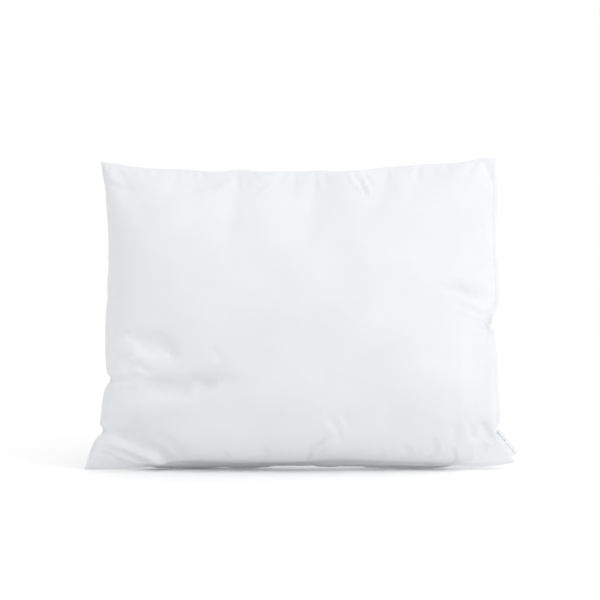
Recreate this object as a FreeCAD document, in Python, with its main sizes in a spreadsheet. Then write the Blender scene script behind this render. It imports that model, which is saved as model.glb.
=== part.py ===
import FreeCAD, Part
import os
from math import cos, pi, sin

# Bed pillow, standing on one long edge on the floor.
# The origin is on the floor under the middle. +X runs along the long edge, +Z is up and -Y is the
# way the front panel faces. The seam between the two panels lies in the plane Y = 0. The seam on
# the +X side is the one sewn shut last, after filling. All sizes are in millimetres.

DIMENSIONS = [
    ("corner_span_bottom", 690, "between the tips of the two corners that stand on the floor"),
    ("corner_span_top", 634, "between the tips of the two upper corners"),
    ("waist_width", 622, "across the sides between the corners, where the filling pulls them in"),
    ("corner_height", 492, "floor to the tips of the upper corners"),
    ("waist_height", 473, "floor to the middle of the top edge, which dips between the corners"),
    ("crown", 80, "how far each panel swells out from the seam plane at its middle"),
    ("base_sag", 28, "how much of the swollen bottom edge the floor presses flat"),
    ("side_flare_power", 8, "how close to a corner the sides start to flare: more is closer"),
    ("edge_rise_power", 4, "the same for the top and bottom edges"),
    ("cloth", 0.6, "thickness of a panel"),
    ("edge_lip", 1.5, "flat rim outside the swell on the three sewn and turned sides"),
    ("closing_lip", 7, "flat rim on the side that is folded in and topstitched shut"),
    ("seam_allowance", 12, "width of cloth turned inwards along every side"),
    ("thread_width", 0.5, "width of a line of stitches"),
    ("thread_sunk", 0.35, "how deep the stitches pull into the cloth"),
    ("thread_proud", 0.1, "how far the stitches stand out of the cloth"),
    ("seam_inset", 2.5, "from the rim to the seam's stitches"),
    ("closing_inset", 5, "from the rim to the closing seam's stitches"),
    ("overlock_width", 5, "how far the overlock thread reaches over the allowance"),
    ("overlock_wrap", 0.5, "thickness of the overlock thread round the raw edges"),
    ("thread_gap", 2, "from the end of the three-sided seam to the closing side's cloth"),
    ("fill_gap", 0.5, "clearance between the filling and what is round it"),
    ("label_length", 36, "length of the label along the seam"),
    ("label_foot", 22, "floor to the lower end of the label"),
    ("label_reach", 8, "how far the folded label stands out of the seam"),
    ("label_tail", 6, "how far the label's cut ends go into the seam"),
    ("label_sheet", 0.3, "thickness of the label's ribbon, which is folded double"),
]

STATIONS_X = 19
STATIONS_Z = 17
SETTLING = 8
CLEAR = 30.0  # how far a cutting solid reaches past what it cuts
AXIS_Y = FreeCAD.Vector(0, 1, 0)

doc = FreeCAD.newDocument("bed_pillow")
sheet = doc.addObject("Spreadsheet::Sheet", "Dimensions")
for row, (alias, value, meaning) in enumerate(DIMENSIONS, start=1):
    sheet.set(f"A{row}", alias)
    sheet.set(f"B{row}", str(value))
    sheet.set(f"C{row}", meaning)
    sheet.setAlias(f"B{row}", alias)
doc.recompute()


def size(alias):
    """The value of a named cell, in millimetres."""
    return float(sheet.get(alias))


# ---- the outline of the seam, as seen from the front ----

def side_edge(z):
    """Half the width of the seam's outline at a height."""
    up = min(max(z / size("corner_height"), 0), 1)
    waist = size("waist_width") / 2
    power = size("side_flare_power")
    low_flare = size("corner_span_bottom") / 2 - waist
    high_flare = size("corner_span_top") / 2 - waist
    return waist + low_flare * (1 - up) ** power + high_flare * up ** power


def towards_corner(x):
    """0 in the middle of a long edge, 1 at its corners, and small until near them."""
    across = min(abs(x) / (size("corner_span_top") / 2), 1)
    return across ** size("edge_rise_power")


def top_edge(x):
    """Height of the top edge, which dips between the corners."""
    rise = size("corner_height") - size("waist_height")
    return size("waist_height") + rise * towards_corner(x)


def bottom_edge(x, sag):
    """Height of the bottom edge before the floor presses it flat."""
    return -sag * (1 - towards_corner(x))


def between(low, high, share):
    return low + share * (high - low)


def outline_point(across, up, y, left, right, top, bottom, sag):
    """A point inside the outline, which is drawn in on each side by that side's inset.

    The width depends on the height and the height on the width, so they settle in turn.
    """
    share_x = (1 + across) / 2
    share_z = (1 + up) / 2
    z = share_z * size("corner_height")
    for _ in range(SETTLING):
        x = between(left - side_edge(z), side_edge(z) - right, share_x)
        z = between(bottom_edge(x, sag) + bottom, top_edge(x) - top, share_z)
    return FreeCAD.Vector(x, y, z)


def stations(count):
    """Angles from one side of the outline to the other, closest together at the rims."""
    return [pi * (i / (count - 1) - 0.5) for i in range(count)]


def spline(points):
    curve = Part.BSplineCurve()
    curve.interpolate(points)
    return curve.toShape()


def plate(y_low, y_high, left, right, top, bottom, sag=0.0):
    """A flat plate of the outline's shape between two depths, drawn in on each side."""
    along = [sin(angle) for angle in stations(STATIONS_X)]
    upward = [sin(angle) for angle in stations(STATIONS_Z)]
    insets = (left, right, top, bottom, sag)
    edges = [
        spline([outline_point(a, -1, y_low, *insets) for a in along]),
        spline([outline_point(1, b, y_low, *insets) for b in upward]),
        spline([outline_point(a, 1, y_low, *insets) for a in reversed(along)]),
        spline([outline_point(-1, b, y_low, *insets) for b in reversed(upward)]),
    ]
    return Part.Face(Part.Wire(edges)).extrude(AXIS_Y * (y_high - y_low))


def swollen_face(level, crown, inset, closing_inset):
    """The crowned face in front of the plane Y = -level, elliptical through its middle."""
    insets = (inset, closing_inset, inset, inset, size("base_sag"))
    rows = []
    for across in stations(STATIONS_X):
        row = []
        for up in stations(STATIONS_Z):
            depth = level + crown * cos(across) * cos(up)
            row.append(outline_point(sin(across), sin(up), -depth, *insets))
        rows.append(row)
    surface = Part.BSplineSurface()
    surface.interpolate(rows)
    return surface.toShape()


def closed(*faces):
    """The solid inside faces that meet along one rim."""
    shell = Part.makeShell(faces)
    shell.sewShape()
    solid = Part.Solid(shell)
    if solid.Volume < 0:
        solid.reverse()
    return solid


def swell(level, crown, inset, closing_inset):
    """A solid with a crowned front and a flat back."""
    front = swollen_face(level, crown, inset, closing_inset)
    return closed(front, Part.Face(Part.Wire(Part.sortEdges(front.Edges)[0])))


def lens(crown, inset):
    """A solid crowned the same way on both sides of the seam plane."""
    front = swollen_face(0, crown, inset, inset)
    return closed(front, front.mirror(FreeCAD.Vector(0, 0, 0), AXIS_Y))


# ---- how the document's objects are made ----

def shaped(name, shape):
    """An object whose free-form or seam-following shape comes from the functions above."""
    item = doc.addObject("Part::Feature", name)
    item.Shape = shape
    return item


def boolean(kind, name, base, tool):
    item = doc.addObject(f"Part::{kind}", name)
    item.Base = base
    item.Tool = tool
    return item


def less(name, base, *tools):
    result = base
    for i, tool in enumerate(tools, start=1):
        result = boolean("Cut", name if i == len(tools) else f"{name}_step_{i}", result, tool)
    return result


def mirrored(name, source):
    """The same piece on the back of the seam plane."""
    item = doc.addObject("Part::Mirroring", name)
    item.Source = source
    item.Base = FreeCAD.Vector(0, 0, 0)
    item.Normal = AXIS_Y
    return item


def slab(name, floor_level, ceiling_level):
    """A wide block between two heights, for trimming a shape to them."""
    block = doc.addObject("Part::Box", name)
    block.setExpression("Length", f"Dimensions.corner_span_bottom + {2 * CLEAR}")
    block.setExpression("Width", f"4 * Dimensions.crown + {2 * CLEAR}")
    block.setExpression("Height", f"{ceiling_level} - ({floor_level})")
    block.setExpression("Placement.Base.x", f"-Dimensions.corner_span_bottom / 2 - {CLEAR}")
    block.setExpression("Placement.Base.y", f"-2 * Dimensions.crown - {CLEAR}")
    block.setExpression("Placement.Base.z", floor_level)
    return block


def three_sided(y_low, y_high, near, far, closing_end):
    """A band along the left, top and bottom sides, between two insets from the rim."""
    outside = plate(y_low, y_high, near, closing_end, near, near)
    inside = plate(y_low, y_high, far, -CLEAR, far, far)
    return outside.cut(inside)


def closing_side(y_low, y_high, near, far, end):
    """A band along the closing side only, between two insets from the rim."""
    outside = plate(y_low, y_high, CLEAR, near, end, end)
    inside = plate(y_low, y_high, -CLEAR, far, -CLEAR, -CLEAR)
    return outside.cut(inside)


cloth = size("cloth")
allowance = size("seam_allowance")
closing_lip = size("closing_lip")
edge_lip = size("edge_lip")
crown = size("crown")
wrap = size("overlock_wrap")
gap = size("fill_gap")
rim = 2 * cloth  # at the rim the panel and its turned-in allowance lie on each other

# ---- seam_needle_thread and seam_bobbin_thread: the seam along the left, top and bottom ----

seam_near = size("seam_inset")
seam_far = seam_near + size("thread_width")
seam_end = allowance + size("thread_gap")
seam_top = cloth + size("thread_proud")
seam_needle = shaped("seam_needle_line", three_sided(
    -seam_top, -cloth + size("thread_sunk"), seam_near, seam_far, seam_end))
seam_needle.Label = "seam_needle_thread"
seam_bobbin = mirrored("seam_bobbin_line", seam_needle)
seam_bobbin.Label = "seam_bobbin_thread"

# ---- closing_needle_thread and closing_bobbin_thread: topstitches on the closing side ----

closing_near = size("closing_inset")
closing_far = closing_near + size("thread_width")
closing_top = rim + size("thread_proud")
closing_needle = shaped("closing_needle_line", closing_side(
    -closing_top, -rim + size("thread_sunk"), closing_near, closing_far, seam_near))
closing_needle.Label = "closing_needle_thread"
closing_bobbin = mirrored("closing_bobbin_line", closing_needle)
closing_bobbin.Label = "closing_bobbin_thread"

# ---- overlock_thread: wrapped round the raw edges of both allowances, inside the cover ----

overlock_near = allowance - size("overlock_width")
overlock_depth = cloth + wrap
overlock_band = shaped("overlock_band", three_sided(
    -overlock_depth, overlock_depth, overlock_near, allowance + wrap, seam_end))
allowance_band = shaped("allowance_band", plate(
    -cloth, cloth, 0, -CLEAR, 0, 0).cut(
    plate(-cloth, cloth, allowance, -2 * CLEAR, allowance, allowance)))
overlock = less("overlock_wrapped", overlock_band, allowance_band)
overlock.Label = "overlock_thread"

# ---- care_label: a ribbon folded double, its cut ends held in the closing seam ----

label_half = size("label_sheet")
label_strip = shaped("label_strip", closing_side(
    -label_half, label_half, -size("label_reach"), size("label_tail"), 0))
label_span = slab(
    "label_span", "Dimensions.label_foot", "Dimensions.label_foot + Dimensions.label_length")
label = boolean("Common", "label_trimmed", label_strip, label_span)
label.Label = "care_label"

# ---- front_panel and back_panel: the cover, crowned, with its allowance turned in ----

above_floor = slab("above_floor", "0", f"Dimensions.corner_height + {CLEAR}")
above_cloth = slab(
    "above_cloth", "Dimensions.cloth", f"Dimensions.corner_height + {CLEAR}")
front_rim = shaped("front_rim", plate(-rim, 0, 0, 0, 0, 0, size("base_sag")))
front_swell = shaped("front_swell", swell(rim, crown, edge_lip, closing_lip))
front_outside = boolean("Fuse", "front_outside", front_rim, front_swell)
front_blank = boolean("Common", "front_blank", front_outside, above_floor)
front_inside = shaped("front_inside", swell(cloth, crown, edge_lip + cloth, closing_lip + cloth))
front_hollow = boolean("Common", "front_hollow", front_inside, above_cloth)
between_allowances = shaped("between_allowances", plate(
    -cloth, cloth, allowance, allowance, allowance, allowance))
front_panel = less(
    "front_cover", front_blank, front_hollow, between_allowances, seam_needle, closing_needle, label)
front_panel.Label = "front_panel"
back_panel = mirrored("back_cover", front_panel)
back_panel.Label = "back_panel"

# ---- fibre_fill: the filling, clear of the cover, the allowances and the overlock thread ----

fill_whole = shaped("fill_whole", lens(crown + cloth - gap, allowance + wrap + gap))
above_fill_foot = slab(
    "above_fill_foot", "Dimensions.cloth + Dimensions.fill_gap",
    f"Dimensions.corner_height + {CLEAR}")
fill_on_foot = boolean("Common", "fill_on_foot", fill_whole, above_fill_foot)
allowance_slot = doc.addObject("Part::Box", "allowance_slot")
SLOT_HALF_WIDTH = "Dimensions.cloth + Dimensions.overlock_wrap + Dimensions.fill_gap"
SLOT_HEIGHT = "Dimensions.seam_allowance + Dimensions.overlock_wrap + Dimensions.fill_gap"
allowance_slot.setExpression("Length", "Dimensions.corner_span_bottom")
allowance_slot.setExpression("Width", f"2 * ({SLOT_HALF_WIDTH})")
allowance_slot.setExpression("Height", SLOT_HEIGHT)
allowance_slot.setExpression("Placement.Base.x", "-Dimensions.corner_span_bottom / 2")
allowance_slot.setExpression("Placement.Base.y", f"-({SLOT_HALF_WIDTH})")
fill = boolean("Cut", "fill_over_allowance", fill_on_foot, allowance_slot)
fill.Label = "fibre_fill"

PIECES = [
    front_panel, back_panel, fill, seam_needle, seam_bobbin, closing_needle, closing_bobbin,
    overlock, label,
]

doc.recompute()
for item in doc.Objects:
    if "Invalid" in item.State or "Error" in item.State:
        raise RuntimeError(f"{item.Name} did not rebuild: {item.State}")
for piece in PIECES:
    if piece.Shape.isNull() or not piece.Shape.isValid():
        raise RuntimeError(f"{piece.Label} has no valid shape")

os.makedirs("parts", exist_ok=True)
for piece in PIECES:
    piece.Shape.exportStep(f"parts/{piece.Label}.step")
    box = piece.Shape.BoundBox
    print(
        f"{piece.Label}: {len(piece.Shape.Solids)} solid, {piece.Shape.Volume / 1e3:.1f} cm3, "
        f"X {box.XMin:.1f}..{box.XMax:.1f}, Y {box.YMin:.1f}..{box.YMax:.1f}, "
        f"Z {box.ZMin:.1f}..{box.ZMax:.1f}")
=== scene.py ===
# %% [markdown]
# # A bed pillow
# A bed pillow is two rectangles of cloth, sewn together round the edge, turned right side
# out, stuffed with loose fibre and closed along its last side. This one stands on its long
# edge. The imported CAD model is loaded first. It gives the main sizes and the label's place.

# %% Load the frame
import math

import bmesh
import bpy
import numpy as np
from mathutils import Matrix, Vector, noise
from mathutils.bvhtree import BVHTree


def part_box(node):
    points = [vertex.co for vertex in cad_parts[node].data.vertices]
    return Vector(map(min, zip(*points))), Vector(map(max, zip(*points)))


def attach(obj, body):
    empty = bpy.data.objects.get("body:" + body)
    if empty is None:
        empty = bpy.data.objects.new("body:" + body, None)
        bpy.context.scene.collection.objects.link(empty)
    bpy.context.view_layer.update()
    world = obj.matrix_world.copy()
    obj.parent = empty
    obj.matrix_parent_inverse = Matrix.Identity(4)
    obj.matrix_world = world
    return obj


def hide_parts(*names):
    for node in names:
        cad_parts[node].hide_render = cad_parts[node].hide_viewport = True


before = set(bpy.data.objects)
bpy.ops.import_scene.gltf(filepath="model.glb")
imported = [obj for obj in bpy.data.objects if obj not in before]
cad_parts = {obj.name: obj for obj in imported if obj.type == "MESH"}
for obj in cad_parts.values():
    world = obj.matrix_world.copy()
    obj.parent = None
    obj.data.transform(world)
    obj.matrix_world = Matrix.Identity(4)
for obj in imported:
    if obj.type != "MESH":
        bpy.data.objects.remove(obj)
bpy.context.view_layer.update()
print("CAD nodes:", ", ".join(sorted(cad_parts)))

# %% Sizes of the pillow, in metres
MM = 0.001
low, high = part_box("front_panel")
HALF_LOW = high[0]          # half the width between the lower corners
HALF_HIGH = 0.917 * high[0]  # the same between the upper corners
HALF_WAIST = 0.9 * high[0]  # and between the corners, where the filling pulls the sides in
TALL = high[2]              # floor to the upper corners
DIP = 19 * MM               # how far the top edge dips between its corners
ALLOWANCE = 12 * MM         # cloth turned inwards behind every seam
CLOTH = 0.5 * MM            # thickness of the cloth
TURNED_GAP = 0.25 * MM      # between the seam's plane and each turned-in allowance
LIP = 7 * MM                # the closing side is pressed flat this far in from its edge
LIP_DEPTH = 1.3 * MM        # where the pressed cloth lies, over both allowances

# %% [markdown]
# ## The line of the seam
# The seam is the pillow's outline. Seen from the front it is nearly a rectangle: sides that
# flare out to the corners, and a top edge that dips in the middle. A real seam is never
# even. The stuffing is loose, so the seam is pinched in at a few places and lifts at others.
# One formula gives the even line, and lists of "here it is drawn in by this much" give the
# pinches and the small waves. Both panels and all the threads follow this one line.

# %% The even line and its pinches
# (height, how far the side is drawn in), in millimetres
LEFT_DRAWN_IN = [
    (0, 1), (32, -3), (51, 1), (58, 6), (64, 12), (70, 7.5), (78, 4), (90, 1.5), (112, 1), (124, 2.5),
    (136, 6), (146, 15), (153, 9.5), (162, 7), (200, 5.5), (232, 6.8), (267, 6.7), (331, 8), (379, 8.5),
    (427, 6.5), (448, 7), (458, 5.5), (470, 3.5), (492, 3)]
RIGHT_DRAWN_IN = [
    (0, -2), (12, -4), (25, -2), (36, 3), (46, 7.5), (64, 12), (70, 6), (78, 1), (90, -1), (110, -2.5),
    (139, -1.5), (180, -1), (211, 1.5), (228, 5), (238, 9), (248, 4), (258, -1), (270, -4), (300, -3.5),
    (330, -2), (352, 1.5), (400, 1.5), (430, 1.7), (459, 4), (480, 7), (492, 8)]
# (place along the edge, how far it is lifted), in millimetres
TOP_LIFTED = [
    (-317, -2), (-289, 0.6), (-275, 0.3), (-220, 0.9), (-189, 2.6), (-157, 1.7), (-126, 1), (-94, 4.3),
    (-63, 1.3), (-31, 2.1), (0, 1.8), (31, 3.2), (63, 1.5), (79, 2.9), (94, 3), (110, 4.7), (126, 7),
    (157, 8.6), (189, 10), (220, 9.6), (252, 8.3), (267, 8.6), (275, 9.9), (291, 9.7), (299, 8.2), (317, 3)]
BOTTOM_LIFTED = [(-345, 1), (-300, 2), (-270, 3), (-237, 6), (-190, 11), (-158, 13), (-100, 13), (0, 14),
                 (100, 13.5), (160, 11.5), (210, 9.5), (250, 7.5), (285, 6), (305, 7), (325, 9), (345, 13)]


def smooth_table(table, at):
    """The value at a place, on a smooth line through the pairs of a table. All in metres."""
    places = [pair[0] * MM for pair in table]
    values = [pair[1] * MM for pair in table]
    at = min(max(at, places[0]), places[-1])
    k = max(i for i, place in enumerate(places[:-1]) if place <= at)
    slopes = []
    for i in (k, k + 1):
        a, b = max(i - 1, 0), min(i + 1, len(places) - 1)
        slopes.append((values[b] - values[a]) / (places[b] - places[a]))
    step = places[k + 1] - places[k]
    u = (at - places[k]) / step
    return (
        (2 * u**3 - 3 * u**2 + 1) * values[k] + (u**3 - 2 * u**2 + u) * step * slopes[0]
        + (3 * u**2 - 2 * u**3) * values[k + 1] + (u**3 - u**2) * step * slopes[1]
    )


def side_line(z):
    up = min(max(z / TALL, 0), 1)
    return HALF_WAIST + (HALF_LOW - HALF_WAIST) * (1 - up) ** 8 + (HALF_HIGH - HALF_WAIST) * up**8


def top_line(x):
    return TALL - DIP + DIP * min(abs(x) / HALF_HIGH, 1) ** 4 + smooth_table(TOP_LIFTED, x)


def bottom_line(x):
    return smooth_table(BOTTOM_LIFTED, x)


def seam_sway(x, z):
    """The seam weaves a little to the front and back of its plane."""
    turn = math.atan2(z - TALL / 2, x)
    return 1.6 * MM * (math.sin(5 * turn) + 0.6 * math.sin(13 * turn + 1) + 0.4 * math.sin(23 * turn + 2))


def seam_point(side, share):
    """A point of the seam. share runs from 0 to 1, upwards or to the right."""
    corners = {"left": (-1, bottom_line(-HALF_LOW), top_line(-HALF_HIGH)),
               "right": (1, bottom_line(HALF_LOW), top_line(HALF_HIGH))}
    if side in corners:
        sign, foot, head = corners[side]
        z = foot + share * (head - foot)
        drawn_in = smooth_table(LEFT_DRAWN_IN if side == "left" else RIGHT_DRAWN_IN, z)
        x = sign * (side_line(z) - drawn_in)
    else:
        level = 1 if side == "top" else 0
        start, end = seam_point("left", level), seam_point("right", level)
        x = start.x + share * (end.x - start.x)
        z = top_line(x) if level else bottom_line(x)
    fade = math.sin(math.pi * share) ** 0.5 if 0 < share < 1 else 0.0
    return Vector((x, fade * seam_sway(x, z), z))


for name in ("left", "right", "top", "bottom"):
    line = [seam_point(name, i / 200) for i in range(201)]
    print(name, "seam is", round(sum((b - a).length for a, b in zip(line, line[1:])), 3), "m long")

# %% [markdown]
# ## Cutting and sewing the cover
# The two panels start as flat pieces of cloth, about as large as the pillow between its
# corners and wider than its waist, because swelling takes up some of the cloth. Each is one
# grid. The back one is turned over, and merging the doubled points along the edge sews them
# together. The flat place of every point is kept as a UV map, so the weave can follow it.

# %% Cut two panels and sew them
CUT_LOW, CUT_HIGH, CUT_TALL = 0.686, 0.644, 0.494  # width at the bottom and top, height
ACROSS, UPWARDS = 120, 86


def cut_half_width(z):
    return (CUT_LOW + (CUT_HIGH - CUT_LOW) * z / CUT_TALL) / 2


cover = bmesh.new()
flat_place = cover.loops.layers.uv.new("cut")
for depth_sign in (-1, 1):
    made = bmesh.ops.create_grid(cover, x_segments=ACROSS, y_segments=UPWARDS, size=0.5)["verts"]
    for v in made:
        across, up = 2 * v.co.x, v.co.y + 0.5
        rise = (1 - across**8) * (1 - (2 * up - 1) ** 8)
        v.co = Vector((across * cut_half_width(up * CUT_TALL), depth_sign * 20 * MM * rise, up * CUT_TALL))
    faces = list({face for v in made for face in v.link_faces})
    for face in faces:
        face.material_index = (depth_sign + 1) // 2
        for loop in face.loops:
            loop[flat_place].uv = (loop.vert.co.x, loop.vert.co.z)
    if depth_sign > 0:
        bmesh.ops.reverse_faces(cover, faces=faces)
bmesh.ops.remove_doubles(cover, verts=cover.verts, dist=0.01 * MM)
bmesh.ops.recalc_face_normals(cover, faces=cover.faces)
print("sewn cover:", len(cover.verts), "points,", len(cover.faces), "faces")


def link(name, mesh):
    piece = bpy.data.objects.new(name, mesh)
    bpy.context.scene.collection.objects.link(piece)
    return piece


def finish_mesh(made, name):
    """A bmesh as a new smooth-shaded object."""
    mesh = bpy.data.meshes.new(name)
    made.to_mesh(mesh)
    made.free()
    mesh.shade_smooth()
    return link(name, mesh)


cloth_piece = finish_mesh(cover, "sewn_cover")
flat = np.array([v.co for v in cloth_piece.data.vertices])


# %% Where each point of the seam has to go
PRESSED_FROM, PRESSED_TO = 0.52, 0.97  # the closing side is held flat between these shares of its height


def goal_of(x, y, z):
    """The place on the finished seam for a point of the flat cut, or None inside it."""
    edge = 0.1 * MM
    half, up = cut_half_width(z), z / CUT_TALL
    if half - abs(x) < edge:
        return seam_point("left" if x < 0 else "right", up)
    if z < edge or z > CUT_TALL - edge:
        return seam_point("bottom" if z < edge else "top", (x / half + 1) / 2)
    if half - x < LIP and PRESSED_FROM < up < PRESSED_TO:
        goal = seam_point("right", up)
        return goal + Vector((x - half, math.copysign(LIP_DEPTH, y), 0))
    return None


cloth_piece.shape_key_add(name="as cut")
goals = cloth_piece.shape_key_add(name="seam in place", from_mix=False)
held = cloth_piece.vertex_groups.new(name="held")
for i, place in enumerate(flat):
    goal = goal_of(*place)
    if goal:
        goals.data[i].co = goal
        held.add([i], 1.0, "REPLACE")
print("points held on the seam:", sum(1 for v in cloth_piece.data.vertices if v.groups))

# %% [markdown]
# ## Stuffing it
# The stuffing pushes the cloth out evenly, which is what Blender's Cloth does with pressure.
# The seam is carried to its place by a shape key over the first frames, and the cloth swells
# meanwhile against a floor. The folds near the seams come from this step: a flat cloth can't
# swell in two directions without them. Gravity is off, because the stuffing carries the cloth.

# %% Swell the cover by cloth simulation
SWELL_FRAMES, CARRY_FRAMES = 30, 12  # all the steps, and those in which the seam is carried in


ground = bmesh.new()
bmesh.ops.create_grid(ground, x_segments=1, y_segments=1, size=2.0)
ground = finish_mesh(ground, "pressing_floor")
ground.modifiers.new("floor", "COLLISION")
ground.collision.thickness_outer = 1 * MM
ground.collision.cloth_friction = 20
swell = cloth_piece.modifiers.new("swell", "CLOTH")
cloth = swell.settings
cloth.quality = 6
cloth.mass = 0.15
cloth.tension_stiffness = cloth.compression_stiffness = 8
cloth.shear_stiffness = 3
cloth.bending_stiffness = 1
cloth.tension_damping = cloth.compression_damping = cloth.shear_damping = 5
cloth.use_pressure = True
cloth.uniform_pressure_force = 0
cloth.use_pressure_volume = True
cloth.target_volume = 0.036
cloth.pressure_factor = 60
cloth.vertex_group_mass = "held"
cloth.pin_stiffness = 1
cloth.effector_weights.gravity = 0
swell.collision_settings.distance_min = 1 * MM
swell.collision_settings.use_self_collision = False
for key_frame, value in ((1, 0.0), (CARRY_FRAMES, 1.0)):
    goals.value = value
    goals.keyframe_insert("value", frame=key_frame)
for step in range(1, SWELL_FRAMES + 1):
    bpy.context.scene.frame_set(step)

stuffed = bpy.data.meshes.new_from_object(
    cloth_piece.evaluated_get(bpy.context.evaluated_depsgraph_get()))
bpy.data.objects.remove(cloth_piece)
bpy.data.objects.remove(ground)
bpy.context.scene.frame_set(1)
swollen = np.array([v.co for v in stuffed.vertices])
print("swollen cover reaches", np.round(swollen.min(0), 3), np.round(swollen.max(0), 3))

# %% Let the folds relax where the stuffing fills the cloth out
RELAXED_FROM, RELAX_STEPS = 16 * MM, 10
OPENED_FROM, OPENED_UP_TO = 0.255, 0.225  # this far across, and up to this height


def relax(mesh, points, steps):
    for _ in range(steps):
        bmesh.ops.smooth_vert(mesh, verts=points, factor=0.5,
                              use_axis_x=True, use_axis_y=True, use_axis_z=True)


relaxed = bmesh.new()
relaxed.from_mesh(stuffed)
inside = [v for v in relaxed.verts if abs(v.co.y) > RELAXED_FROM]
relax(relaxed, inside, RELAX_STEPS)
# low on the closing side the pressed edge has opened again, and the cloth is round up to the seam
opened = [v for v, place in zip(relaxed.verts, flat)
          if v.co.x > OPENED_FROM and v.co.z < OPENED_UP_TO and not goal_of(*place)]
relax(relaxed, opened, 3 * RELAX_STEPS)
relaxed.to_mesh(stuffed)
relaxed.free()
print("relaxed", len(inside), "points, and", len(opened), "beside the opened edge")

# %% [markdown]
# ## Creases and dents
# The stuffing has slipped in places, so the cloth falls into creases that the even pressure
# can't give. They are pressed in one by one, as a sculptor would with a crease brush. Each is a
# line with a depth, a steep side and a soft side: cloth falls gently into a crease and comes
# out of it sharply. The cover gets one more level of points first, so the creases stay fine.

# %% One more level of points, with the seam kept sharp
crease_of_edge = stuffed.attributes.new("crease_edge", "FLOAT", "EDGE")
on_seam = np.array([bool(goal_of(*place)) for place in flat])
for edge in stuffed.edges:
    if on_seam[edge.vertices[0]] and on_seam[edge.vertices[1]]:
        a, b = flat[edge.vertices[0]], flat[edge.vertices[1]]
        if abs(a[1]) < 0.01 * MM and abs(b[1]) < 0.01 * MM:
            crease_of_edge.data[edge.index].value = 0.9
finer = link("finer", stuffed)
level = finer.modifiers.new("finer", "SUBSURF")
level.levels = level.render_levels = 1
cover_mesh = bpy.data.meshes.new_from_object(finer.evaluated_get(bpy.context.evaluated_depsgraph_get()))
bpy.data.objects.remove(finer)
print("finer cover:", len(cover_mesh.vertices), "points")


# %% The tools: a crease, a dent, and the soft lumps of the stuffing
def smooth_line(points, spacing=3 * MM):
    """Points (x, z) in millimetres, as a smooth line of evenly spaced points in metres."""
    p = np.array(points, float) * MM
    chord = np.concatenate([[0], np.cumsum(np.linalg.norm(np.diff(p, axis=0), axis=1))])
    slope = np.gradient(p, chord, axis=0)
    at = np.linspace(0, chord[-1], max(int(chord[-1] / spacing), 4))
    k = np.clip(np.searchsorted(chord, at) - 1, 0, len(chord) - 2)
    step = (chord[k + 1] - chord[k])[:, None]
    u = (at - chord[k])[:, None] / step
    return ((2 * u**3 - 3 * u**2 + 1) * p[k] + (u**3 - 2 * u**2 + u) * step * slope[k]
            + (3 * u**2 - 2 * u**3) * p[k + 1] + (u**3 - u**2) * step * slope[k + 1])


def crease(places, points, depth, soft, steep, lip, ends=0.25):
    """How far each place (x, z) is pushed out by a crease. Sizes in millimetres.

    The soft side is on the left of the line as it runs. lip is how much the steep side
    stands up, as a share of the depth.
    """
    line = smooth_line(points)
    reach = 3.2 * max(soft, steep) * MM
    pushed = np.zeros(len(places))
    near = ((places > line.min(0) - reach) & (places < line.max(0) + reach)).all(1)
    if not near.any():
        return pushed
    local = places[near]
    gap = local[:, None, :] - line[None, :, :]
    nearest = np.einsum("ijk,ijk->ij", gap, gap).argmin(1)
    along = np.gradient(line, axis=0)[nearest]
    along /= np.linalg.norm(along, axis=1)[:, None]
    off = gap[np.arange(len(local)), nearest]
    aside = along[:, 0] * off[:, 1] - along[:, 1] * off[:, 0]
    past = np.einsum("ij,ij->i", along, off)
    away = np.hypot(aside, np.where((nearest == 0) | (nearest == len(line) - 1), past, 0))
    left = aside > 0
    width = np.where(left, soft, steep) * MM
    dip = -np.exp(-((away / width) ** 2))
    rim = np.where(left, 0.0, 1) * lip * np.exp(-(((away - 1.7 * width) / (0.8 * width)) ** 2))
    share = nearest / (len(line) - 1)
    fade = np.clip(np.minimum(share, 1 - share) / ends, 0, 1)
    fade = 0.15 + 0.85 * fade * fade * (3 - 2 * fade)
    pushed[near] = depth * MM * (dip + rim) * fade
    return pushed


def dent(places, centre, radii, depth, turn=0):
    """How far each place is pushed out by a round dent, or by a lump if depth is below 0."""
    across = places - np.array(centre) * MM
    c, s = math.cos(math.radians(turn)), math.sin(math.radians(turn))
    u = (across[:, 0] * c + across[:, 1] * s) / (radii[0] * MM)
    w = (across[:, 1] * c - across[:, 0] * s) / (radii[1] * MM)
    return -depth * MM * np.exp(-(u * u + w * w))


def lumps(points, size, height, seed):
    """Soft, irregular lumps of the stuffing."""
    shift = Vector((seed, 2.7 * seed, 5.1 * seed))
    return np.array([height * MM * noise.noise(Vector(p) / size + shift) for p in points])


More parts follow.
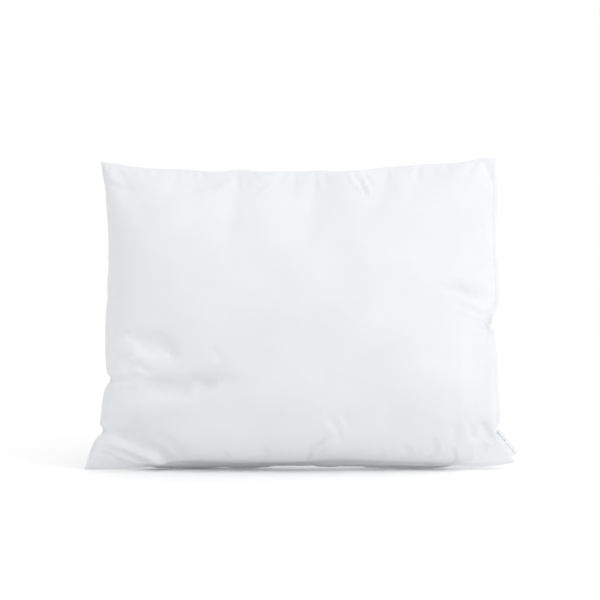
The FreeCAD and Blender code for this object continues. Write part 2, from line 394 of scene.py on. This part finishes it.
# %% The creases of the front
# (line of (x, z) in millimetres, depth, soft side, steep side, lip); soft is left of the line
FRONT_CREASES = [
    # the group of folds over the left pinch
    ([(-269, 217), (-249, 208), (-232, 205), (-215, 198), (-201, 188), (-192, 174)], 4.4, 15, 13, 0.05),
    ([(-287, 210), (-276, 220), (-263, 213), (-249, 218)], 2.2, 6, 4, 0.3),
    ([(-301, 170), (-289, 178), (-273, 185), (-253, 189)], 3.2, 9, 4, 0.4),
    ([(-280, 159), (-267, 165), (-256, 171), (-245, 166), (-226, 164)], 2.6, 7, 7, 0.2),
    ([(-259, 134), (-230, 136), (-204, 139), (-176, 142), (-148, 145), (-117, 146)], 7.5, 14, 11, 0.05),
    ([(-299, 145), (-277, 151), (-249, 153)], 2.4, 6, 5, 0.3),
    ([(-141, 204), (-127, 190), (-117, 176)], 1.2, 7, 9, 0.2),
    # the flat wing at the lower left corner
    ([(-311, 61), (-288, 55), (-267, 47), (-241, 34), (-214, 19), (-186, 6)], 8.5, 14, 7, 0.25),
    ([(-293, 33), (-272, 27), (-251, 17), (-236, 7)], 3.0, 10, 5, 0.3),
    ([(-230, 67), (-210, 53), (-192, 33), (-184, 17)], 3.0, 9, 9, 0.2),
    ([(-323, 31), (-301, 22), (-281, 11)], 1.4, 5, 3, 0.4),
    # the folds into the right pinch
    ([(228, 294), (249, 287), (269, 280), (289, 271), (301, 255)], 2.6, 10, 5, 0.3),
    ([(241, 265), (259, 262), (280, 256), (299, 244)], 2.2, 8, 4, 0.35),
    ([(273, 227), (289, 229), (300, 235)], 1.8, 5, 4, 0.4),
    # under the top edge
    ([(-186, 448), (-150, 453), (-123, 462), (-100, 472)], 2.6, 12, 6, 0.3),
    ([(-81, 445), (-59, 453), (-42, 463)], 1.5, 8, 5, 0.3),
    ([(83, 471), (91, 459), (99, 448), (103, 436)], 3.6, 6, 4, 0.5),
    ([(97, 473), (107, 462), (117, 451)], 2.2, 5, 4, 0.4),
    ([(-253, 448), (-275, 448), (-297, 453), (-313, 463)], 1.8, 5, 6, 0.4),
    ([(-301, 487), (-303, 475), (-309, 461)], 2.2, 5, 3, 0.6),
    # over the bottom edge
    ([(7, 15), (19, 32), (34, 48), (42, 60)], 4.0, 6, 4, 0.5),
    ([(44, 97), (51, 81), (59, 65), (65, 49)], 1.8, 8, 7, 0.4),
    ([(69, 104), (75, 87), (79, 67)], 1.4, 9, 7, 0.4),
    ([(164, 11), (169, 27), (166, 45)], 1.8, 7, 5, 0.4),
    ([(202, 12), (211, 29), (215, 51)], 2.0, 6, 5, 0.4),
    ([(240, 10), (244, 23), (240, 41)], 1.7, 6, 4, 0.4),
    ([(246, 53), (245, 65), (248, 77)], 1.8, 7, 5, 0.3),
    ([(121, 14), (127, 27), (123, 39)], 1.0, 6, 5, 0.3),
    ([(-117, 12), (-113, 23), (-120, 35)], 1.2, 6, 5, 0.3),
    ([(-61, 13), (-53, 27), (-57, 43)], 1.2, 6, 5, 0.3),
    # the curled lower right corner
    ([(268, 81), (271, 67), (278, 49)], 2.8, 7, 6, 0.3),
    ([(285, 85), (291, 70), (297, 55), (295, 42)], 3.4, 9, 8, 0.2),
    ([(297, 46), (291, 36), (291, 26), (298, 17)], 2.6, 8, 7, 0.2),
    ([(307, 40), (310, 31), (308, 20)], 1.8, 6, 5, 0.3),
]
# (centre, radii, depth, turn)
FRONT_DENTS = [
    ((-188, 141), (72, 17), 5.0, 4),
    ((-226, 210), (40, 16), 3.5, -25),
    ((-248, 188), (26, 12), -2.5, -10),
    ((-259, 161), (24, 9), -2.0, 0),
    ((-238, 100), (60, 18), -3.0, 0),
    ((-234, 49), (60, 16), 4.0, -28),
    ((259, 283), (40, 13), 2.5, -14),
    ((283, 65), (14, 26), 2.5, 10),
    ((40, 65), (18, 30), -2.0, -20),
    ((-158, 456), (70, 12), 2.0, 14),
    ((-20, 194), (160, 60), 4.0, 10),
    ((228, 303), (90, 110), -3.0, 20),
]


def wandering(points):
    """The places (x, z) of the points, shifted a little by noise, so that no crease runs true."""
    sideways = lumps(points, 0.028, 6.0, 31) + lumps(points, 0.011, 1.6, 37)
    upwards = lumps(points, 0.028, 6.0, 43) + lumps(points, 0.011, 1.6, 47)
    return points[:, [0, 2]] + np.stack([sideways, upwards], axis=1)


def front_shaping(points):
    """How far each point of the front is pushed out, along the cloth's own direction."""
    places = wandering(points)
    pushed = sum(crease(places, line, depth, soft, steep, lip)
                 for line, depth, soft, steep, lip in FRONT_CREASES)
    pushed += sum(dent(places, *values) for values in FRONT_DENTS)
    return pushed


# %% [markdown]
# The back is made in the same way. Nothing shows what its creases are, so it has a plain
# few of its own. Folds run in from the same pinches in the seam, because a pinch draws in
# both panels, and short ones lie under the top edge and over the bottom edge.

# %% The creases of the back
BACK_CREASES = [
    ([(-300, 142), (-270, 150), (-236, 166), (-210, 170)], 3.6, 6, 10, 0.45),
    ([(-302, 138), (-276, 124), (-250, 118)], 2.4, 8, 4, 0.4),
    ([(-312, 60), (-284, 52), (-250, 34), (-222, 14)], 4.6, 10, 4, 0.5),
    ([(300, 235), (270, 246), (238, 250), (214, 262)], 3.4, 5, 9, 0.45),
    ([(302, 230), (280, 214), (256, 206)], 2.0, 7, 4, 0.4),
    ([(312, 58), (288, 50), (262, 30), (246, 10)], 4.0, 4, 9, 0.5),
    ([(-60, 470), (-52, 450), (-56, 428)], 2.4, 6, 4, 0.5),
    ([(140, 476), (132, 452), (136, 430)], 2.4, 5, 5, 0.5),
    ([(206, 480), (214, 462), (210, 446)], 1.4, 5, 4, 0.4),
    ([(-200, 470), (-190, 454), (-170, 444)], 1.8, 5, 5, 0.4),
    ([(-140, 6), (-132, 26), (-136, 48)], 2.4, 5, 5, 0.5),
    ([(30, 8), (40, 26), (38, 46)], 2.0, 5, 4, 0.5),
    ([(150, 6), (144, 24), (150, 40)], 2.0, 4, 5, 0.5),
]


def back_shaping(points):
    """How far each point of the back is pushed out."""
    places = wandering(points)
    pushed = sum(crease(places, line, depth, soft, steep, lip)
                 for line, depth, soft, steep, lip in BACK_CREASES)
    pushed += dent(places, (-250, 150), (50, 16), 4.0, 20) + dent(places, (252, 250), (44, 14), 3.5, -12)
    return pushed


# %% Shape a cover: creases, lumps and the small puckers along the thread
def outline_box(z):
    """Where the left and the right side of the outline are, at a height."""
    drawn = smooth_table(LEFT_DRAWN_IN, z), smooth_table(RIGHT_DRAWN_IN, z)
    return -side_line(z) + drawn[0], side_line(z) - drawn[1]


def seam_distance(points):
    """How far each point is inside the outline, seen from the front."""
    gaps = []
    for x, _, z in points:
        left, right = outline_box(z)
        gaps.append(max(0.0, min(x - left, right - x, top_line(x) - z, z - bottom_line(x))))
    return np.array(gaps)


def puckers(points, gap):
    """Small gathers where the thread draws the cloth together, fading away from the seam."""
    turn = points[:, 0] + 1.3 * points[:, 2]
    slip = points[:, 0] - 0.8 * points[:, 2]
    wave = np.sin(turn / (2.3 * MM)) * np.sin(slip / (9.5 * MM) + 1) + 0.6 * np.sin(slip / (4.1 * MM) + 2)
    strength = np.where(points[:, 2] > 0.7 * TALL, 0.22, 0.45) * MM
    return strength * wave * np.exp(-gap / (8 * MM)) * np.clip(gap / (3 * MM), 0, 1)


# (side, height, spread) of the seam's pinches, in millimetres
CLOTH_PINCHES = [(-1, 147, 12), (-1, 65, 10), (1, 238, 9)]
# how far the cloth may swell past a pinch, and past the seam elsewhere
PINCHED_REST, OVERHANG = 2.5 * MM, 9 * MM
SHARPEST = 0.2 * MM  # the smallest radius of a drawn-in bend
REST_HEIGHT = 60 * MM  # the floor shapes the back up to here
FRONT_REACH = 1.4      # and the front up to this many times as high
SPREAD_BACK, SPREAD_FRONT = 0.9, -0.12  # how far the resting cloth moves out from the seam's plane
CORNER_FREE, CORNER_FADE = 0.055, 0.06  # it is left alone this near a lower corner, and fades in


def pinched(points):
    """The cloth beside a pinch is drawn in with the seam, so it can't swell past it there."""
    moved = points.copy()
    bounds = np.array([outline_box(z) for z in points[:, 2]])
    for side, height, spread in CLOTH_PINCHES:
        free = 1 - np.exp(-(((points[:, 2] - height * MM) / (spread * MM)) ** 2))
        limit = side * bounds[:, (side + 1) // 2] + PINCHED_REST + (OVERHANG - PINCHED_REST) * free
        past = side * moved[:, 0] - limit
        near = side * points[:, 0] > 0
        soft = 10 * MM * (1 - free)
        bend = np.clip(past / np.maximum(soft, SHARPEST), -30, 30)
        drawn = np.where(soft > SHARPEST, np.log1p(np.exp(bend)) * soft, np.maximum(past, 0))
        clear = np.clip((np.abs(points[:, 1]) - 2 * MM) / (3 * MM), 0, 1)
        moved[:, 0] -= side * np.where(near, drawn, 0) * clear
    return moved


def rested(points):
    """The underside settles: the back belly lies on the floor, and the front one close to it."""
    moved = points.copy()
    seam_height = np.array([bottom_line(x) for x in points[:, 0]])
    behind_seam = points[:, 1] > 0
    level = np.where(behind_seam, 1 * MM, seam_height + 0.08 * np.abs(points[:, 1]))
    reach = np.where(behind_seam, 1.0, FRONT_REACH) * REST_HEIGHT
    rise = np.clip((points[:, 2] - 0.5 * seam_height) / reach, 0, 1)
    rise = rise * rise * (3 - 2 * rise)
    inside = np.clip(np.abs(points[:, 1]) / (6 * MM), 0, 1)
    corner = np.clip((HALF_LOW - CORNER_FREE - np.abs(points[:, 0])) / CORNER_FADE, 0, 1)
    sink = (1 - rise) * inside * corner
    moved[:, 2] -= (points[:, 2] - level) * sink
    moved[:, 1] *= 1 + np.where(behind_seam, SPREAD_BACK, SPREAD_FRONT) * sink
    return moved


TURNED_ROOM = 3 * MM  # each panel stands this far off the seam's plane, over the turned-in cloth


def panel_side(mesh):
    """-1 for the points of the front panel and 1 for those of the back one."""
    side = np.ones(len(mesh.vertices))
    for face in mesh.polygons:
        if face.material_index == 0:
            side[list(face.vertices)] = -1
    return side


def shape_cover(points, normals, side):
    """Moves the points of a swollen cover, front and back, and keeps the seam where it is."""
    gap = seam_distance(points)
    points = rested(pinched(points))
    hold = np.clip(gap / (9 * MM), 0, 1)
    hold = hold * hold * (3 - 2 * hold)
    pushed = np.where(side < 0, front_shaping(points), back_shaping(points))
    pushed += lumps(points, 0.15, 3.0, 3) + lumps(points, 0.055, 1.0, 11)
    moved = points + normals * (pushed * hold + puckers(points, gap))[:, None]
    sway = np.array([seam_sway(x, z) for x, _, z in points])
    room = side * (moved[:, 1] - sway)
    least = TURNED_ROOM * np.clip(gap / (7 * MM), 0, 1) ** 0.5
    moved[:, 1] += side * np.where(gap > 0, np.maximum(least - room, 0), 0)
    moved[:, 2] = np.maximum(moved[:, 2], 0.6 * MM)
    return moved


def get_points(mesh):
    values = np.zeros(len(mesh.vertices) * 3, np.float32)
    mesh.vertices.foreach_get("co", values)
    return values.reshape(-1, 3).astype(float)


def get_normals(mesh):
    return np.array([v.normal for v in mesh.vertices])


shaped = shape_cover(get_points(cover_mesh), get_normals(cover_mesh), panel_side(cover_mesh))
cover_mesh.vertices.foreach_set("co", shaped.astype(np.float32).ravel())
cover_mesh.update()
print("shaped cover reaches", np.round(shaped.min(0), 3), np.round(shaped.max(0), 3))

# %% [markdown]
# ## Two panels of cloth with their allowances
# The panels are two separate pieces of cloth. Each has 12 mm of cloth past the stitches,
# which lies inside the pillow once the cover is turned right side out. So the sewn cover is
# parted along the seam, and the open edge of each half is extruded inwards, along the seam's
# plane. Solidify then gives the cloth its thickness.

# %% Part the cover and turn the allowances in
def drawn_inwards(x, z, inset):
    """A place on the seam, seen from the front, moved inwards by inset. Corners are mitred."""
    left, right = outline_box(z)
    return (min(max(x, left + inset), right - inset),
            min(max(z, bottom_line(x) + inset), top_line(x) - inset))


def make_panel(name, which, depth_sign):
    panel = bmesh.new()
    panel.from_mesh(cover_mesh)
    others = [face for face in panel.faces if face.material_index != which]
    bmesh.ops.delete(panel, geom=others, context="FACES")
    rim = [edge for edge in panel.edges if edge.is_boundary]
    for edge in rim:
        edge.smooth = False
    made = bmesh.ops.extrude_edge_only(panel, edges=rim)["geom"]
    turned = [item for item in made if isinstance(item, bmesh.types.BMVert)]
    for v in turned:
        x, z = drawn_inwards(v.co.x, v.co.z, ALLOWANCE)
        v.co = Vector((x, v.co.y + depth_sign * TURNED_GAP, z))
    rungs = [edge for v in turned for edge in v.link_edges if not edge.is_boundary]
    bmesh.ops.subdivide_edges(panel, edges=rungs, cuts=2)
    for face in panel.faces:
        face.material_index = 0
    piece = finish_mesh(panel, name)
    wall = piece.modifiers.new("cloth", "SOLIDIFY")
    wall.thickness = CLOTH
    wall.offset = -1
    return piece


front_cover = make_panel("front_cover", 0, -1)
back_cover = make_panel("back_cover", 1, 1)
for panel in (front_cover, back_cover):
    print(panel.name, len(panel.data.polygons), "faces,",
          round(sum(p.area for p in panel.data.polygons), 3), "square metres")

# %% [markdown]
# ## The stuffing
# Loose polyester fibre fills the cover and follows it, but it is one soft lumpy mass with no
# seam and no sharp folds. It is the same swollen shape, drawn in from the cloth and further
# in from the seam, where the allowances lie. Smoothing rounds it, and noise gives its tufts.

# %% Make the stuffing
def make_stuffing(name):
    points, normals = get_points(stuffed), get_normals(stuffed)
    points = shape_cover(points, normals, panel_side(stuffed)) - normals * 4 * MM
    gap = seam_distance(points)
    draw = (0.055 * np.exp(-gap / (16 * MM)))[:, None]
    middle = np.array([0, 0, TALL / 2])
    points = points - (points - middle) * draw * np.array([1, 0, 1.3])
    tufts = lumps(points, 0.022, 1.6, 17) + lumps(points, 0.009, 0.7, 23)
    points = points + normals * (tufts - 1 * MM)[:, None]
    points[:, 2] = np.maximum(points[:, 2], 3 * MM)
    mass = bmesh.new()
    mass.from_mesh(stuffed)
    for v, place in zip(mass.verts, points):
        v.co = place
    relax(mass, mass.verts, 2)
    for face in mass.faces:
        face.material_index = 0
    bmesh.ops.recalc_face_normals(mass, faces=mass.faces)
    print("stuffing volume", round(1000 * mass.calc_volume(), 1), "litres")
    return finish_mesh(mass, name)


stuffing = make_stuffing("stuffing")

# %% [markdown]
# ## The threads
# A lockstitch has two threads. The needle thread lies on one side of the cloth, the bobbin
# thread on the other, and they cross inside it. Each is one long thread, so each is one
# curve that dips into the cloth at every stitch, made into a mesh. Three sides are sewn
# through the allowances, inside the pillow. An overlock thread winds round their raw edges.
# The fourth side is sewn shut from outside, so its stitches show along the pressed edge.

# %% Lines that the threads follow
SEAM_STITCH, CLOSING_STITCH, OVERLOCK_STEP = 3 * MM, 3.6 * MM, 2.6 * MM
THREAD = 0.22 * MM  # radius
FINE = 500  # points along one side before they are evened out


def even_places(sides, inset, spacing):
    """Evenly spaced points (x, y, z) at an inset from the seam, along some of its sides."""
    line = []
    for side, forward in sides:
        for i in range(FINE + 1):
            p = seam_point(side, i / FINE if forward else 1 - i / FINE)
            x, z = drawn_inwards(p.x, p.z, inset)
            line.append((x, p.y, z))
    line = np.array(line)
    length = np.concatenate([[0], np.cumsum(np.linalg.norm(np.diff(line, axis=0), axis=1))])
    at = np.arange(0, length[-1], spacing)
    return np.stack([np.interp(at, length, line[:, k]) for k in range(3)], axis=1)


def thread_piece(name, points, radius, closed=False):
    """A round thread through points, as a mesh."""
    line = bpy.data.curves.new(name, "CURVE")
    line.dimensions = "3D"
    line.bevel_depth = radius
    line.bevel_resolution = 1
    spline = line.splines.new("POLY")
    spline.points.add(len(points) - 1)
    spline.points.foreach_set("co", np.hstack([points, np.ones((len(points), 1))]).ravel())
    spline.use_cyclic_u = closed
    line.use_fill_caps = not closed
    shown = link(name + "_line", line)
    mesh = bpy.data.meshes.new_from_object(shown.evaluated_get(bpy.context.evaluated_depsgraph_get()))
    bpy.data.objects.remove(shown)
    mesh.name = name
    mesh.shade_smooth()
    print(name, len(mesh.polygons), "faces")
    return link(name, mesh)


THREE_SIDES = [("top", False), ("left", False), ("bottom", True)]
ALL_SIDES = THREE_SIDES + [("right", True)]


def sewn_line(places, outer, inner):
    """Four points for each stitch: in, up, along and back in. outer and inner are depths."""
    points = []
    for a, b in zip(places, places[1:]):
        for share, depth in ((0.02, inner), (0.22, outer), (0.78, outer), (0.98, inner)):
            p = a + share * (b - a)
            points.append((p[0], p[1] + depth, p[2]))
    return np.array(points)


SEAM_INSET = 2.5 * MM
seam_places = even_places(THREE_SIDES, SEAM_INSET, SEAM_STITCH)
behind = TURNED_GAP + CLOTH + 0.6 * THREAD
seam_needle = thread_piece("seam_needle", sewn_line(seam_places, -behind, -0.4 * TURNED_GAP), THREAD)
seam_bobbin = thread_piece("seam_bobbin", sewn_line(seam_places, behind, 0.4 * TURNED_GAP), THREAD)

# %% The overlock thread round the raw edges
OVERLOCK_WIDTH = 5 * MM
edge_places = even_places(ALL_SIDES, ALLOWANCE + 0.3 * MM, OVERLOCK_STEP)
reach_places = even_places(ALL_SIDES, ALLOWANCE - OVERLOCK_WIDTH, OVERLOCK_STEP)
share_of = np.linspace(0, 1, len(edge_places))
reach_share = np.linspace(0, 1, len(reach_places))
reached = np.stack([np.interp(share_of, reach_share, reach_places[:, k]) for k in range(3)], axis=1)
wound = []
for edge_place, over in zip(edge_places, reached):
    wound += [over + (0, -behind, 0), edge_place, over + (0, behind, 0), edge_place]
overlock = thread_piece("overlock", np.array(wound[:-1]), THREAD)

# %% The closing seam, sewn through the pressed edge
CLOSING_INSET = 5 * MM
closing_places = even_places([("right", True)], CLOSING_INSET, CLOSING_STITCH)[1:-1]


def on_panel(panel, places, depth_sign):
    """The places moved to the surface of a panel."""
    tree = BVHTree.FromObject(panel, bpy.context.evaluated_depsgraph_get())
    found = []
    for x, y, z in places:
        hit = tree.ray_cast(Vector((x, depth_sign * 0.2, z)), Vector((0, -depth_sign, 0)))[0]
        found.append((x, hit.y if hit else y + depth_sign * LIP_DEPTH, z))
    return np.array(found)


closing_needle = thread_piece(
    "closing_needle", sewn_line(on_panel(front_cover, closing_places, -1), -0.5 * THREAD, 2 * THREAD), THREAD)
closing_bobbin = thread_piece(
    "closing_bobbin", sewn_line(on_panel(back_cover, closing_places, 1), 0.5 * THREAD, -2 * THREAD), THREAD)

# %% [markdown]
# ## The care label
# A short ribbon is folded double, and its cut ends are caught in the closing seam near the
# lower corner. It is flat and a little stiff, so it makes a straight edge there. One grid
# runs along the seam and round the fold. Its marks are plain grey dashes in its finish.

# %% Fold the label
LABEL_FOOT, LABEL_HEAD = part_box("care_label")[0][2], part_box("care_label")[1][2]
LABEL_REACH, LABEL_TAIL, RIBBON = 8 * MM, 6 * MM, 0.15 * MM
LABEL_TURN = math.radians(5)  # it is sewn in a little askew
print("label from", round(LABEL_FOOT, 4), "to", round(LABEL_HEAD, 4))


def make_label(name):
    share_low, share_high = ((z - bottom_line(HALF_LOW)) / (top_line(HALF_HIGH) - bottom_line(HALF_LOW))
                             for z in (LABEL_FOOT, LABEL_HEAD + 3 * MM))
    foot, head = seam_point("right", share_low), seam_point("right", share_high)
    along = head - foot
    out = Vector((along.z, 0, -along.x)).normalized()
    askew = along.length * (along.normalized() * math.cos(LABEL_TURN) - out * math.sin(LABEL_TURN))
    out = out * math.cos(LABEL_TURN) + along.normalized() * math.sin(LABEL_TURN)
    ribbon = bmesh.new()
    marks = ribbon.loops.layers.uv.new("cut")
    bmesh.ops.create_grid(ribbon, x_segments=30, y_segments=28, size=0.5)
    for v in ribbon.verts:
        up, round_fold = v.co.x + 0.5, 2 * v.co.y
        stand = LABEL_REACH - abs(round_fold) * (LABEL_REACH + LABEL_TAIL)
        for loop in v.link_loops:
            loop[marks].uv = (up * along.length, stand)
        wave = 0.7 * MM * math.sin(5 * up + 0.6) * max(stand, 0) / LABEL_REACH
        apart = 0.7 * RIBBON * math.tanh(9 * round_fold)
        v.co = head - (1 - up) * askew + stand * out + Vector((0, apart + wave, 0))
    bmesh.ops.recalc_face_normals(ribbon, faces=ribbon.faces)
    piece = finish_mesh(ribbon, name)
    wall = piece.modifiers.new("ribbon", "SOLIDIFY")
    wall.thickness = RIBBON
    wall.offset = 0
    print("label is", round(1000 * along.length, 1), "mm along the seam")
    return piece


care_ribbon = make_label("care_ribbon")

# %% [markdown]
# ## Finishes
# The cover is a fine, smooth, closely woven white cloth. Its weave is far smaller than its
# folds, so it is a bump made of two crossing waves that follow the cloth's own flat places.
# Broader noise gives the slight crumple and the slubs of the yarn. A little sheen lifts the
# edges, as the fuzz of fine fibre does. Each finish sets its constants on the shader itself.

# %% Helpers for the finishes
class Finish:
    """A material and a short way to add and join its nodes."""

    def __init__(self, name, colour, roughness, sheen):
        self.material = bpy.data.materials.new(name)
        self.material.use_nodes = True
        self.nodes = self.material.node_tree.nodes
        self.links = self.material.node_tree.links
        self.shader = self.nodes["Principled BSDF"]
        self.shader.inputs["Base Color"].default_value = (*colour, 1)
        self.shader.inputs["Roughness"].default_value = roughness
        self.shader.inputs["Sheen Weight"].default_value = sheen
        self.shader.inputs["Sheen Roughness"].default_value = 0.5
        self.shader.inputs["Specular IOR Level"].default_value = 0.25

    def add(self, kind, **values):
        node = self.nodes.new(kind)
        for key, value in values.items():
            setattr(node, key, value)
        return node

    def join(self, out, into):
        self.links.new(out, into)

    def place(self, kind="Object"):
        if kind == "cut":
            return self.add("ShaderNodeUVMap", uv_map="cut").outputs["UV"]
        return self.add("ShaderNodeTexCoord").outputs[kind]

    def bump(self, height, distance, strength, before=None):
        node = self.add("ShaderNodeBump")
        node.inputs["Distance"].default_value = distance
        node.inputs["Strength"].default_value = strength
        self.join(height, node.inputs["Height"])
        if before:
            self.join(before.outputs["Normal"], node.inputs["Normal"])
        self.join(node.outputs["Normal"], self.shader.inputs["Normal"])
        return node

    def tint(self, factor, low, high):
        """The base colour runs between two colours with a factor."""
        ramp = self.add("ShaderNodeValToRGB")
        ramp.color_ramp.elements[0].position, ramp.color_ramp.elements[1].position = 0.3, 0.7
        ramp.color_ramp.elements[0].color = (*low, 1)
        ramp.color_ramp.elements[1].color = (*high, 1)
        self.join(factor, ramp.inputs["Fac"])
        self.join(ramp.outputs["Color"], self.shader.inputs["Base Color"])

    def noise(self, place, scale, detail=2.0, roughness=0.5):
        node = self.add("ShaderNodeTexNoise")
        node.inputs["Scale"].default_value = scale
        node.inputs["Detail"].default_value = detail
        node.inputs["Roughness"].default_value = roughness
        self.join(place, node.inputs["Vector"])
        return node.outputs["Fac"]

    def wave(self, place, axis, scale, distortion=0.0):
        node = self.add("ShaderNodeTexWave")
        node.bands_direction = axis
        node.inputs["Scale"].default_value = scale
        node.inputs["Distortion"].default_value = distortion
        self.join(place, node.inputs["Vector"])
        return node.outputs["Fac"]

    def calc(self, a, b, operation="ADD"):
        """One step of arithmetic on two outputs or numbers."""
        node = self.add("ShaderNodeMath")
        node.operation = operation
        for socket, value in zip(node.inputs, (a, b)):
            if isinstance(value, (int, float)):
                socket.default_value = value
            else:
                self.join(value, socket)
        return node.outputs["Value"]


# %% The cloth of the cover
YARN_WAVES = 640  # one wave is half a millimetre on the flat cloth
cover_cloth = Finish("white_cover_cloth", (0.76, 0.77, 0.785), 0.82, 0.25)
flat_cloth = cover_cloth.place("cut")
weave = cover_cloth.calc(cover_cloth.wave(flat_cloth, "X", YARN_WAVES),
                         cover_cloth.wave(flat_cloth, "Y", YARN_WAVES))
slubs = cover_cloth.noise(flat_cloth, 900, 3)
crumple = cover_cloth.noise(flat_cloth, 38, 5, 0.55)
cloudy = cover_cloth.noise(flat_cloth, 9, 3)
cover_cloth.tint(cloudy, (0.745, 0.757, 0.775), (0.775, 0.784, 0.797))
under = cover_cloth.bump(crumple, 1.2 * MM, 0.35)
fuzz = cover_cloth.bump(slubs, 0.06 * MM, 0.3, under)
cover_cloth.bump(weave, 0.05 * MM, 0.35, fuzz)

# %% The stuffing, threads and label
fibre = Finish("fibre_filling", (0.83, 0.84, 0.84), 0.95, 0.5)
fibre_place = fibre.place()
strands = fibre.noise(fibre_place, 420, 6, 0.7)
tufts = fibre.noise(fibre_place, 70, 4)
# the hollows between the tufts are painted darker: painted shade over the fibre's own white
fibre.tint(tufts, (0.74, 0.75, 0.75), (0.86, 0.87, 0.87))
fibre.bump(strands, 0.8 * MM, 0.7, fibre.bump(tufts, 3 * MM, 0.5))


def thread_finish(name, colour, twist, fuzz_size):
    finish = Finish(name, colour, 0.6, 0.35)
    where = finish.place()
    ply_height_and_groove_shade = finish.wave(where, "DIAGONAL", twist, 0.4)
    hairs = finish.noise(where, fuzz_size, 4)
    # the grooves between the plies are painted darker: painted shade over the thread's own white
    finish.tint(ply_height_and_groove_shade, tuple(0.9 * c for c in colour), colour)
    finish.bump(ply_height_and_groove_shade, 0.08 * MM, 0.6, finish.bump(hairs, 0.05 * MM, 0.4))
    return finish


sewing_thread = thread_finish("white_sewing_thread", (0.8, 0.8, 0.79), 500, 2500)
overlock_yarn = thread_finish("soft_overlock_yarn", (0.82, 0.82, 0.82), 260, 1400)

# %% The label's ribbon, with plain dashes
ROW_STEP, ROW_FOOT, ROW_HEAD = 1.3 * MM, 1.2 * MM, 4.0 * MM
ribbon = Finish("label_ribbon", (0.8, 0.81, 0.82), 0.45, 0.15)
split = ribbon.add("ShaderNodeSeparateXYZ")
ribbon.join(ribbon.place("cut"), split.inputs["Vector"])
length_way, stand_way = split.outputs["X"], split.outputs["Y"]
row = ribbon.calc(stand_way, ROW_STEP, "DIVIDE")
row_number = ribbon.calc(row, 0, "FLOOR")
in_row = ribbon.calc(ribbon.calc(ribbon.calc(row, 1, "MODULO"), 0.25, "GREATER_THAN"),
                     ribbon.calc(ribbon.calc(row, 1, "MODULO"), 0.8, "LESS_THAN"), "MULTIPLY")
spot = ribbon.add("ShaderNodeCombineXYZ")
ribbon.join(ribbon.calc(length_way, 700, "MULTIPLY"), spot.inputs["X"])
ribbon.join(ribbon.calc(row_number, 7.3, "MULTIPLY"), spot.inputs["Y"])
dashes = ribbon.calc(ribbon.noise(spot.outputs["Vector"], 1.0, 0), 0.5, "GREATER_THAN")
printed = ribbon.calc(ribbon.calc(stand_way, ROW_FOOT, "GREATER_THAN"),
                      ribbon.calc(stand_way, ROW_HEAD, "LESS_THAN"), "MULTIPLY")
mask = ribbon.calc(ribbon.calc(in_row, dashes, "MULTIPLY"), printed, "MULTIPLY")
ribbon.tint(mask, (0.8, 0.81, 0.82), (0.4, 0.4, 0.41))
ribs = ribbon.wave(ribbon.place("cut"), "X", 900)
ribbon.bump(ribs, 0.05 * MM, 0.4)

# %% [markdown]
# ## Every piece in its place
# Each piece takes its finish and rides on the model's one body, and the CAD node it replaces is hidden.

PIECES = [
    (front_cover, "front_panel", "cover_cloth", cover_cloth),
    (back_cover, "back_panel", "cover_cloth", cover_cloth),
    (stuffing, "fibre_fill", "fibre_filling", fibre),
    (seam_needle, "seam_needle_thread", "sewing_thread", sewing_thread),
    (seam_bobbin, "seam_bobbin_thread", "sewing_thread", sewing_thread),
    (closing_needle, "closing_needle_thread", "sewing_thread", sewing_thread),
    (closing_bobbin, "closing_bobbin_thread", "sewing_thread", sewing_thread),
    (overlock, "overlock_thread", "overlock_yarn", overlock_yarn),
    (care_ribbon, "care_label", "label_ribbon", ribbon),
]
for piece, node, slot, finish in PIECES:
    piece.data.materials.clear()
    piece.data.materials.append(finish.material)
    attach(piece, "root")
    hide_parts(node)

# %% [markdown]
# ## Floor, light and camera
# A white pillow on a white floor is drawn only by soft shading. The floor and the sky are
# bright enough to be plain white. The pillow's cloth is a little darker than white, so it
# stays below them. A large soft light stands on the right and a faint, broad sun above. A
# long lens looks from slightly above, nearly straight at the front.

# %% The floor
ground = bmesh.new()
bmesh.ops.create_grid(ground, x_segments=1, y_segments=1, size=30)
ground = finish_mesh(ground, "studio_floor")
floor_paint = Finish("floor_paint", (0.935, 0.935, 0.935), 0.9, 0.0)
floor_paint.tint(floor_paint.noise(floor_paint.place(), 0.6, 1), (0.935, 0.935, 0.935), (0.94, 0.94, 0.94))
ground.data.materials.append(floor_paint.material)

# %% The lights
scene = bpy.context.scene
scene.view_settings.view_transform = "Standard"
scene.view_settings.gamma = 0.77
sky = bpy.data.worlds.new("studio_sky")
scene.world = sky
sky.use_nodes = True
sky.node_tree.nodes["Background"].inputs["Color"].default_value = (1, 1, 1, 1)
sky.node_tree.nodes["Background"].inputs["Strength"].default_value = 1.0
AIM = Vector((0, 0, 0.5 * TALL))


def soft_light(name, place, size, power):
    lamp = bpy.data.lights.new(name, "AREA")
    lamp.shape = "DISK"
    lamp.size = size
    lamp.energy = power
    stand = bpy.data.objects.new(name, lamp)
    scene.collection.objects.link(stand)
    stand.location = place
    stand.rotation_euler = (AIM - stand.location).to_track_quat("-Z", "Y").to_euler()


soft_light("key_light", Vector((1.9, -1.4, 1.3)), 1.2, 11)
sun = bpy.data.lights.new("high_light", "SUN")
sun.energy = 0.25
sun.angle = math.radians(30)
sun_stand = bpy.data.objects.new("high_light", sun)
scene.collection.objects.link(sun_stand)
sun_stand.rotation_euler = Vector((-0.35, 0.5, -1.6)).to_track_quat("-Z", "Y").to_euler()

# %% The camera
DISTANCE, ELEVATION, VIEW_HEIGHT = 3.0, math.radians(4), 0.2715
SEEN_WIDTH = 0.949  # metres across the view at the pillow
lens = bpy.data.cameras.new("camera")
lens.lens = lens.sensor_width * DISTANCE / SEEN_WIDTH
camera = bpy.data.objects.new("camera", lens)
scene.collection.objects.link(camera)
look = Vector((0, math.cos(ELEVATION), -math.sin(ELEVATION)))
camera.location = Vector((0, 0, VIEW_HEIGHT)) - DISTANCE * look
camera.rotation_euler = look.to_track_quat("-Z", "Y").to_euler()
scene.camera = camera
